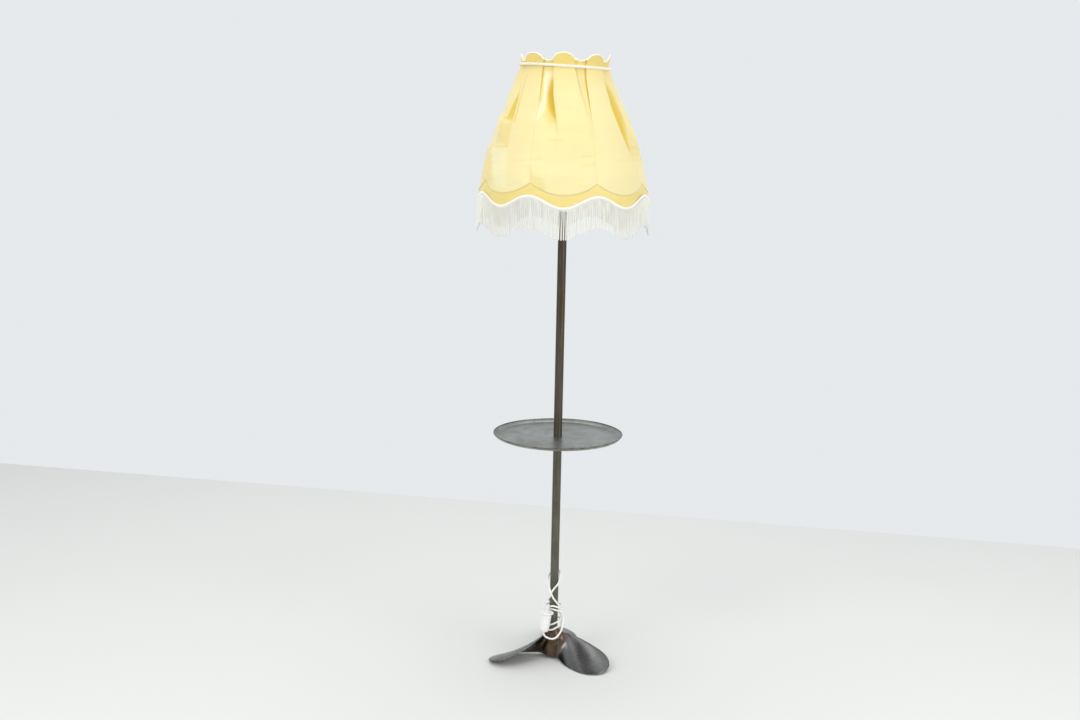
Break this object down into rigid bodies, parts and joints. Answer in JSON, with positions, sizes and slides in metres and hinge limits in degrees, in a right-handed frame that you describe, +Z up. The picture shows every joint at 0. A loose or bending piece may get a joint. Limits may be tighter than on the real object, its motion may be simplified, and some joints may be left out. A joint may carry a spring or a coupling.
{
  "type": "floor lamp with table",
  "caption": "Floor lamp on a propeller foot, with a steel pole, a round tray table at mid height and a pleated, scalloped cloth shade with a fringe.",
  "frame": {"origin": "on the floor, under the axis of the pole", "axes": "+Z up along the pole, -Y towards the side that the picture shows"},
  "size_m": [0.4686, 0.4686, 1.7],
  "materials": {
    "propeller_bronze": "cast bronze with a dark, worn patina",
    "zinc_steel": "zinc-plated steel",
    "pole_steel": "raw steel tube with a brown patina",
    "tray_steel": "raw sheet steel, lightly scratched",
    "collar_steel": "dark grey paint",
    "grommet_rubber": "white rubber",
    "fitting_brass": "plain brass",
    "holder_plastic": "dark brown moulded plastic",
    "porcelain": "white porcelain",
    "bulb_metal": "pressed aluminium",
    "bulb_glass": "frosted glass",
    "bulb_inside": "glass stem with a coiled filament",
    "cord_white": "smooth white sheath",
    "frame_wire": "cream enamelled wire",
    "shade_silk": "slubbed silk, pale butter yellow",
    "under_silk": "silk, golden yellow",
    "rope_cotton": "twisted cream cotton",
    "braid_cotton": "woven ivory braid",
    "fringe_rayon": "looped ivory fringe",
    "plug_white": "white moulded plastic",
    "plug_metal": "nickel-plated pins"
  },
  "bodies": {
    "stand": {"propeller": "propeller_bronze", "hub_washer": "zinc_steel", "hub_nut": "zinc_steel", "hub_grub_screw": "zinc_steel", "pole_foot": "zinc_steel", "pole": "pole_steel", "cord_grommet": "grommet_rubber", "tray": "tray_steel", "tray_rim": "tray_steel", "tray_collar": "collar_steel", "tray_rivets": "zinc_steel", "collar_screw": "zinc_steel", "top_bush": "fitting_brass", "nipple": "fitting_brass", "nipple_nut": "fitting_brass", "holder_cap": "holder_plastic", "holder_insert": "porcelain", "holder_contacts": "fitting_brass", "screw_shell": "fitting_brass", "holder_shell": "holder_plastic", "inner_lead": "cord_white", "cord_lead": "cord_white", "cord_winding": "cord_white", "cord_tail": "cord_white", "plug_body": "plug_white", "plug_pins": "plug_metal"},
    "shade": {"shade_fitter": "frame_wire", "shade_spokes": "frame_wire", "shade_ribs": "frame_wire", "neck_wire": "frame_wire", "lower_wire": "frame_wire", "shade_panel_1": "shade_silk", "shade_panel_2": "shade_silk", "shade_panel_3": "shade_silk", "shade_panel_4": "shade_silk", "shade_panel_5": "shade_silk", "shade_panel_6": "shade_silk", "shade_panel_7": "shade_silk", "shade_panel_8": "shade_silk", "hem_band": "under_silk", "neck_rope": "rope_cotton", "braid": "braid_cotton", "fringe": "fringe_rayon"},
    "bulb": {"bulb_cap": "bulb_metal", "bulb_contact": "bulb_metal", "bulb_glass": "bulb_glass", "bulb_filament": "bulb_inside"},
    "shade_ring": {"shade_ring": "holder_plastic"},
    "switch_key": {"switch_key": "holder_plastic"}
  },
  "joints": [
    {"name": "shade_turn", "type": "hinge", "parent": "stand", "child": "shade", "pos_m": [0, 0, 1.383], "axis": [0, 0, 1], "continuous": true},
    {"name": "ring_screw", "type": "hinge", "parent": "stand", "child": "shade_ring", "pos_m": [0, 0, 1.3851], "axis": [0, 0, 1], "continuous": true},
    {"name": "bulb_screw", "type": "hinge", "parent": "stand", "child": "bulb", "pos_m": [0, 0, 1.372], "axis": [0, 0, 1], "continuous": true},
    {"name": "key_turn", "type": "hinge", "parent": "stand", "child": "switch_key", "pos_m": [0.0225, 0, 1.351], "axis": [1, 0, 0], "continuous": true}
  ]
}
